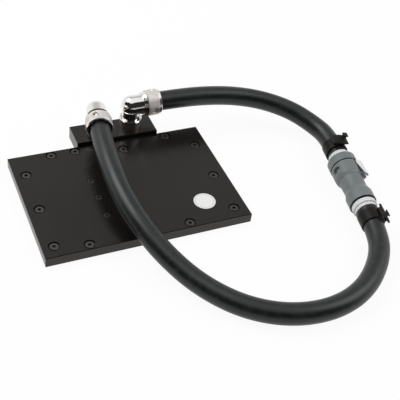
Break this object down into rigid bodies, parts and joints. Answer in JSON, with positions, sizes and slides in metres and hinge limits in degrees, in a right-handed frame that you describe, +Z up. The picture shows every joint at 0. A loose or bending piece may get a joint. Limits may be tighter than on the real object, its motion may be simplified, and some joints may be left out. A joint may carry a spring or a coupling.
{
  "type": "liquid cooling cold plate",
  "caption": "Flat liquid-cooled plate with a screwed cover over its finned chamber, a manifold with swivel elbows, and a hose loop closed by a quick-disconnect coupling.",
  "frame": {"origin": "centre of the plate's contact face, its flat underside, which stands on the heat source", "axes": "+X along the plate's long side, +Y towards the manifold block with the ports, +Z up, away from the contact face"},
  "size_m": [0.2695, 0.244, 0.0411],
  "materials": {
    "anodised_aluminium": "black anodised, satin",
    "black_steel": "black oxide",
    "seal_rubber": "moulded seal rubber",
    "label_plastic": "white film",
    "chromed_brass": "polished chrome on brass",
    "satin_nickel": "satin nickel plate",
    "spring_steel": "plain spring steel",
    "grey_acetal": "moulded grey acetal",
    "white_acetal": "moulded white acetal",
    "black_nylon": "moulded black nylon",
    "hose_rubber": "matte black hose rubber"
  },
  "bodies": {
    "plate_and_loop": {"back_barb": "white_acetal", "back_ring": "grey_acetal", "base_plate": "anodised_aluminium", "cover_plate": "anodised_aluminium", "cover_screws": "black_steel", "cover_seal": "seal_rubber", "front_barb": "white_acetal", "latch_spring": "spring_steel", "left_collar": "satin_nickel", "left_elbow": "chromed_brass", "left_hose_tail": "chromed_brass", "left_port_seal": "seal_rubber", "left_retaining_clip": "spring_steel", "left_swivel_ring": "chromed_brass", "left_swivel_seal": "seal_rubber", "long_hose": "hose_rubber", "long_hose_clamp": "black_nylon", "nose_seal": "seal_rubber", "plug": "grey_acetal", "plug_valve": "grey_acetal", "plug_valve_spring": "spring_steel", "rib_screws": "black_steel", "rib_washers": "black_steel", "right_collar": "satin_nickel", "right_elbow": "chromed_brass", "right_hose_tail": "chromed_brass", "right_port_seal": "seal_rubber", "right_retaining_clip": "spring_steel", "right_swivel_ring": "chromed_brass", "right_swivel_seal": "seal_rubber", "round_label": "label_plastic", "short_hose": "hose_rubber", "short_hose_clamp": "black_nylon", "socket_shell": "grey_acetal", "socket_valve": "grey_acetal", "socket_valve_spring": "spring_steel"},
    "latch": {"release_latch": "white_acetal"}
  },
  "joints": [
    {"name": "latch_press", "type": "slide", "parent": "plate_and_loop", "child": "latch", "axis": [-0.4283, 0.0957, -0.8985], "range_m": [0, 0.0014], "stiffness_N_per_m": 2000}
  ]
}
